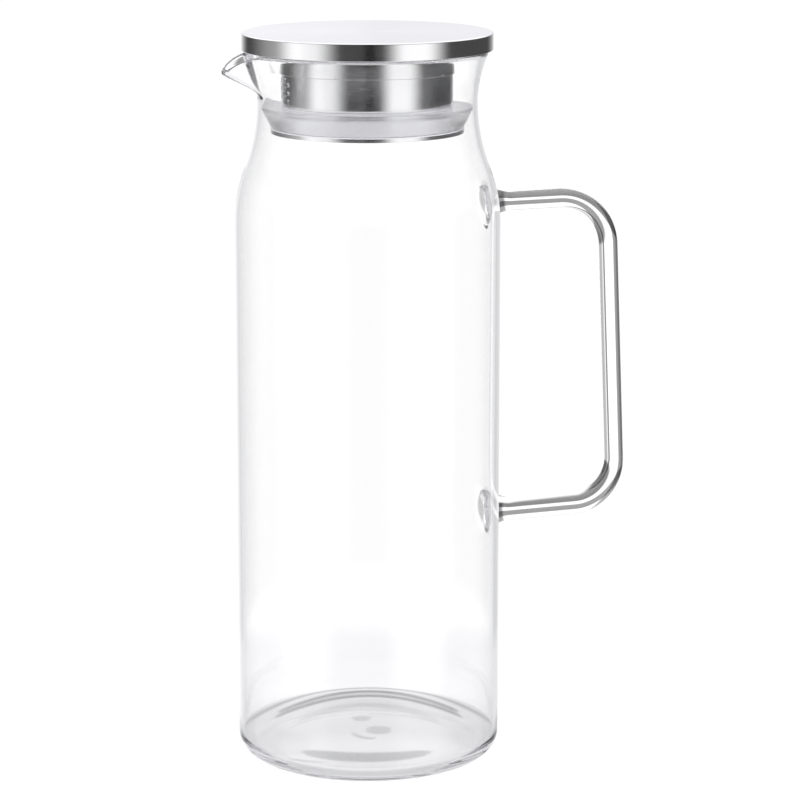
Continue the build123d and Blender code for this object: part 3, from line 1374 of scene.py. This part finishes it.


# Painted shadows that only the glass shows on the table: the shade and dark rings that the foot's
# thick glass throws, and greyer patches under its floor
PAINTED_FOOT_SHADOWS = (
    PaintedShadowSpot(0, -20, 52, 57, 2, 0.13),
    PaintedShadowArc(0, -78, 0.0195, -58, 58, 0.6, 1.2, 0.38),
    PaintedShadowArc(0, -69.3, 0.0214, -36, 36, 0.8, 1.1, 0.5),
    PaintedShadowArc(0, -62.3, 0.0205, -37, 37, 0.8, 1.1, 0.5),
    PaintedShadowArc(0, -48, 0.03, -26, 25, 1.5, 3, 0.2),
    PaintedShadowArc(0, 19.5, -0.0105, -24, 22, 4.2, 1.8, 0.6),
    PaintedShadowArc(1, -4, -0.12, -6.5, 0.8, 0.6, 1, 0.45),
    PaintedShadowSpot(-2.8, -29.6, 2.6, 2.4, 1.2, 0.5),
    PaintedShadowSpot(4, -14.5, 3.8, 4, 1.4, 0.42),
    PaintedShadowSpot(-36, 3, 9, 14, 6, 0.14),
    PaintedShadowSpot(42, -4, 7, 12, 5, 0.14),
    PaintedShadowSpot(-24, 28, 6, 2, 1.5, 0.25),
    PaintedShadowArc(0, -65.8, 0.021, -35, 35, 2.4, 1.2, 0.2),
    PaintedShadowArc(0, 47, -0.012, -32, 32, 2.5, 2.5, 0.2),
)


@dataclass
class Studio:
    """A white table, light panels round it and the camera."""

    camera_azimuth: float = -20.0
    camera_distance: float = 1.22755
    camera_height: float = 0.39419
    camera_tilt: float = 11.822
    camera_yaw: float = 0.571
    lens: float = 148.46
    sensor: float = 36.0
    floor_radius: float = 9.0
    floor_sides: int = 64
    floor_tone: Colour = (0.3, 0.3, 0.3, 1.0)
    floor_glow: float = 0.75
    room_level: float = 0.075
    room_level_through: float = 0.02
    panels: tuple[Panel, ...] = (
        Panel(12, 36, 54, 82, 1.25),
        Panel(-5, 1, 4, 11, -0.06),
        Panel(-22, -50, -64, -94, 1.1),
        Panel(-50, -80, -90, -136, 0.35),
        Panel(140, 180, 181, 182, 0.85),
        Panel(-138, -172, -181, -182, 1.05),
    )
    flags: tuple[Panel, ...] = (
        Panel(112, 120, 140, 152, 0.58),
        Panel(-112, -120, -140, -152, 0.58),
        Panel(169, 177, 181, 182, 0.12),
        Panel(-169, -177, -181, -182, 0.12),
    )
    # Dark parts of the room that only a sight line through one rod or one wall shows
    side_cards: tuple[Panel, ...] = (
        Panel(-14, -20, -160, -166, 0.72),
        Panel(149, 153, 158, 161, 0.8),
        Panel(19, 22, 27, 31, 0.8),
        Panel(30, 36, 144, 150, 0.2),
    )
    low_cards: tuple[Panel, ...] = (
        Panel(-15, -18, -80, -88, 0.8),
        Panel(-8, -5, 10, 13, 0.74),
        Panel(45, 55, 80, 90, 0.4),
    )
    panel_top_from: float = 8.0
    panel_top_full: float = 18.0
    panel_top_level: float = 0.45
    sky: Colour = (0.97, 0.96, 1.0, 1.0)
    top_light: Colour = (1.45, 1.45, 1.47, 1.0)
    top_light_from: float = 15.0
    top_light_full: float = 22.0
    sky_from: float = 0.0
    sky_full: float = 8.0
    sky_lean: float = 60.0
    table_from: float = -22.0
    table_full: float = -36.0
    table_level: float = 0.8
    backlight: float = 1.25
    soft_level: float = 0.92
    edge_light: Colour = (0.95, 0.95, 0.98, 1.0)
    edge_share: float = 0.85
    again_share: float = 0.4
    edge_from: float = 80.0
    edge_full: float = 120.0
    deep_from: float = 4.5
    deep_light: Colour = (0.8, 0.8, 0.82, 1.0)
    table_top_from: float = 0.15
    table_top_to: float = 0.2
    table_top_light: Colour = (1.03, 1.03, 1.05, 1.0)
    # Painted shade under the foot, full inside the first radius and easing out by the second
    foot_shade: float = 0.22
    foot_shade_from: float = 0.046
    foot_shade_to: float = 0.084
    sheet_rings: int = 222
    sheet_spokes: int = 300
    table_top_sunk: float = 0.3 * MM
    table_shade_sunk: float = 0.2 * MM
    bounces: int = 192
    glass_bounces: int = 64
    mirror_bounces: int = 128
    clear_bounces: int = 16
    shade_tone: Colour = (0.04, 0.04, 0.045, 1.0)

    def build(self) -> None:
        """Sets the world, the table, the sheets on it and the camera."""
        self.light_room()
        self.lay_table()
        self.lay_table_top()
        self.place_camera()
        bpy.context.scene.view_settings.view_transform = "Standard"
        tracing = bpy.context.scene.cycles
        tracing.blur_glossy = 0.0
        tracing.max_bounces = self.bounces
        tracing.transmission_bounces = self.glass_bounces
        tracing.glossy_bounces = self.mirror_bounces
        tracing.transparent_max_bounces = self.clear_bounces

    def heading(self) -> tuple[Vector, Vector]:
        """The level directions from the jug to the camera and to the camera's right."""
        turn = math.radians(self.camera_azimuth)
        to_right = Vector((math.cos(turn), math.sin(turn), 0))
        return Vector((math.sin(turn), -math.cos(turn), 0)), to_right

    def light_room(self) -> None:
        """A world of panels for what steel and glass mirror, and a white one for what glass shows."""
        world = bpy.data.worlds.new("studio_room")
        bpy.context.scene.world = world
        world.use_nodes = True
        world.cycles.sampling_method = "NONE"
        bench = NodeBench(world.node_tree)
        path = bench.add("ShaderNodeLightPath").outputs
        way = bench.add("ShaderNodeTexCoord").outputs["Generated"]
        to_camera, to_right = self.heading()
        sideways = self.along(bench, way, to_right)
        angle = bench.math("ARCTAN2", sideways, self.along(bench, way, to_camera))
        degrees = bench.math("DEGREES", angle)
        upward = self.along(bench, way, Vector((0, 0, 1)))
        rise = bench.math("DEGREES", bench.math("ARCSINE", upward))
        crossed = path["Transmission Depth"]
        plain = bench.math("LESS_THAN", crossed, ONCE)
        more = bench.math("MULTIPLY", plain, self.room_level - self.room_level_through)
        mirrored = bench.math("ADD", more, self.room_level_through)
        for panel in self.panels:
            mirrored = bench.math("ADD", mirrored, self.seen(bench, panel, degrees))
        upper = bench.spread(rise, self.panel_top_from, self.panel_top_full, 1.0, self.panel_top_level)
        mirrored = bench.math("MULTIPLY", mirrored, upper)
        through = self.backlight
        for flag in self.flags:
            through = bench.math("SUBTRACT", through, self.seen(bench, flag, degrees))
        one_rod = bench.math("COMPARE", crossed, ROD_CROSSINGS, DEPTH_SLACK)
        for cards, turn in ((self.side_cards, degrees), (self.low_cards, rise)):
            for card in cards:
                dark = bench.math("MULTIPLY", self.seen(bench, card, turn), one_rod)
                through = bench.math("MULTIPLY", through, bench.math("SUBTRACT", 1.0, dark))
        facing = bench.math("ADD", bench.math("COSINE", angle), 1.0)
        lean = bench.math("MULTIPLY", facing, self.sky_lean / 2)
        lean = bench.math("MULTIPLY", lean, plain)
        overhead = bench.spread(bench.math("SUBTRACT", rise, lean), self.sky_from, self.sky_full)
        below = bench.spread(rise, self.table_full, self.table_from, 1.0, 0.0)
        table = (self.table_level,) * 3 + (1.0,)
        mirrored = bench.blend_colour(below, self.grey(bench, mirrored), table)
        high = bench.spread(rise, self.top_light_from, self.top_light_full)
        above = bench.blend_colour(high, self.sky, self.top_light)
        mirrored = bench.blend_colour(overhead, mirrored, above)
        left_over = bench.math("MODULO", crossed, VESSEL_CROSSINGS)
        part_walls = bench.math("GREATER_THAN", left_over, ONCE)
        twice = bench.math("GREATER_THAN", path["Glossy Depth"], TWICE)
        again = bench.math("SUBTRACT", twice, plain)
        inside = bench.math("MAXIMUM", part_walls, again)
        aside = bench.spread(bench.math("ABSOLUTE", degrees), self.edge_from, self.edge_full)
        share = bench.math("MULTIPLY", bench.math("MULTIPLY", inside, aside), self.edge_share)
        share = bench.math("MAXIMUM", share, bench.math("MULTIPLY", again, self.again_share))
        mirrored = bench.blend_colour(share, mirrored, self.edge_light)
        deep = bench.math("GREATER_THAN", path["Glossy Depth"], self.deep_from)
        mirrored = bench.blend_colour(deep, mirrored, self.deep_light)
        by_mirror = bench.math("GREATER_THAN", path["Glossy Depth"], ONCE)
        colour = bench.blend_colour(by_mirror, self.grey(bench, through), mirrored)
        soft = (self.soft_level,) * 3 + (1.0,)
        by_matte = bench.math("GREATER_THAN", path["Diffuse Depth"], ONCE)
        colour = bench.blend_colour(by_matte, colour, soft)
        colour = bench.blend_colour(path["Is Camera Ray"], colour, WHITE)
        bench.join(colour, world.node_tree.nodes["Background"].inputs["Color"])

    def along(self, bench: NodeBench, way: bpy.types.NodeSocket, axis: Vector) -> bpy.types.NodeSocket:
        """How far a direction points along an axis."""
        node = bench.add("ShaderNodeVectorMath", operation="DOT_PRODUCT")
        bench.join(way, node.inputs[0])
        node.inputs[1].default_value = axis
        return node.outputs["Value"]

    def seen(self, bench: NodeBench, panel: Panel,
             degrees: bpy.types.NodeSocket) -> bpy.types.NodeSocket:
        """A panel's brightness at an angle."""
        side = math.copysign(1, panel.full_from)
        turned = bench.math("MULTIPLY", degrees, side)
        rising = bench.spread(turned, side * panel.starts, side * panel.full_from)
        falling = bench.spread(turned, side * panel.full_to, side * panel.ends, 1.0, 0.0)
        return bench.math("MULTIPLY", bench.math("MULTIPLY", rising, falling), panel.level)

    def grey(self, bench: NodeBench, value: object) -> bpy.types.NodeSocket:
        """A grey colour of a brightness."""
        node = bench.add("ShaderNodeCombineColor")
        for socket in node.inputs:
            bench.feed(socket, value)
        return node.outputs[0]

    def lay_table(self) -> None:
        """The white table, which keeps the jug's faint shadow."""
        clear_selection()
        bpy.ops.mesh.primitive_circle_add(
            vertices=self.floor_sides, radius=self.floor_radius, fill_type="NGON")
        table = bpy.context.object
        table.name = "white_table"
        table.visible_glossy = False
        table.visible_transmission = False
        made = bpy.data.materials.new("white_table_top")
        made.use_nodes = True
        shader = made.node_tree.nodes["Principled BSDF"]
        shader.inputs["Base Color"].default_value = self.floor_tone
        shader.inputs["Roughness"].default_value = 1.0
        shader.inputs["Specular IOR Level"].default_value = 0.0
        shader.inputs["Emission Color"].default_value = WHITE
        shader.inputs["Emission Strength"].default_value = self.floor_glow
        table.data.materials.append(made)

    def lay_table_top(self) -> None:
        """The lit table near the foot as the glass shows it, with painted shade where the foot throws
        it.
        """
        to_camera, to_right = self.heading()
        top = []
        shade_on_top = []
        for i in range(self.sheet_rings + 1):
            radius = self.table_top_to * (i + 0.5) / self.sheet_rings
            edge_share = (radius - self.table_top_from) / (self.table_top_to - self.table_top_from)
            away = (radius - self.foot_shade_from) / (self.foot_shade_to - self.foot_shade_from)
            top.append([])
            shade_on_top.append([])
            for k in range(self.sheet_spokes + 1):
                turn = math.tau * k / self.sheet_spokes
                right = radius * math.sin(turn)
                near = radius * math.cos(turn)
                # How lit the table is here: painted shade under the foot, then each painted shadow
                light = 1 - self.foot_shade * (1 - ease(away))
                for painted_shadow in PAINTED_FOOT_SHADOWS:
                    light *= 1 - painted_shadow.at(right / MM, near / MM)
                place = to_right * right + to_camera * near
                top_place = place + Vector((0, 0, -self.table_top_sunk))
                shade_place = place + Vector((0, 0, -self.table_shade_sunk))
                top[-1].append((top_place, 1 - ease(edge_share)))
                shade_on_top[-1].append((shade_place, 1 - light))
        # A lit sheet, and a dark sheet just over it whose solid parts are the painted shade
        self.lay_sheet("table_top", top, self.table_top_light)
        self.lay_sheet("table_shade", shade_on_top, self.shade_tone)

    def lay_sheet(self, name: str, rows: list[list[tuple[Vector, float]]],
                  tone: Colour) -> None:
        """A thin sheet that is solid in places and clear in others, and that only glass shows.

        Args:
            name: Its name.
            rows: Its points, each with how solid the sheet is there.
            tone: Its colour.
        """
        wide = len(rows[0])
        faces = []
        for row in range(len(rows) - 1):
            for column in range(wide - 1):
                corner = row * wide + column
                faces.append((corner, corner + 1, corner + wide + 1, corner + wide))
        mesh = bpy.data.meshes.new(name)
        mesh.from_pydata([place for row in rows for place, _ in row], [], faces)
        layer = mesh.attributes.new("shade", "FLOAT", "POINT")
        layer.data.foreach_set("value", [dark for row in rows for _, dark in row])
        sheet = bpy.data.objects.new(name, mesh)
        bpy.context.scene.collection.objects.link(sheet)
        sheet.visible_camera = False
        sheet.visible_diffuse = False
        sheet.visible_glossy = False
        sheet.visible_shadow = False
        made = bpy.data.materials.new(name)
        made.use_nodes = True
        bench = NodeBench(made.node_tree)
        shader = made.node_tree.nodes["Principled BSDF"]
        shader.inputs["Base Color"].default_value = BLACK
        shader.inputs["Specular IOR Level"].default_value = 0.0
        shader.inputs["Emission Color"].default_value = tone
        shader.inputs["Emission Strength"].default_value = 1.0
        dark = bench.add("ShaderNodeAttribute", attribute_name="shade").outputs["Fac"]
        bench.join(dark, shader.inputs["Alpha"])
        mesh.materials.append(made)

    def place_camera(self) -> None:
        """The camera, a little above the lid."""
        to_camera, _ = self.heading()
        view = bpy.data.cameras.new("photo_view")
        view.lens = self.lens
        view.sensor_width = self.sensor
        camera = bpy.data.objects.new("photo_view", view)
        bpy.context.scene.collection.objects.link(camera)
        camera.location = to_camera * self.camera_distance + Vector((0, 0, self.camera_height))
        turn = self.camera_azimuth - self.camera_yaw
        camera.rotation_euler = (math.radians(90 - self.camera_tilt), 0, math.radians(turn))
        bpy.context.scene.camera = camera


def main() -> None:
    """Builds the jug, its lid, its seal and the studio."""
    logging.basicConfig(level=logging.INFO, format="%(name)s: %(message)s")
    body_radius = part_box("glass_body")[1].x
    jug = GlassJug(body_radius)
    dress(jug.build(), GLASS, Body.PITCHER, "glass_body", "handle")
    SteelLid().build()
    SiliconeSeal().build()
    Studio().build()


if __name__ == "__main__":
    main()
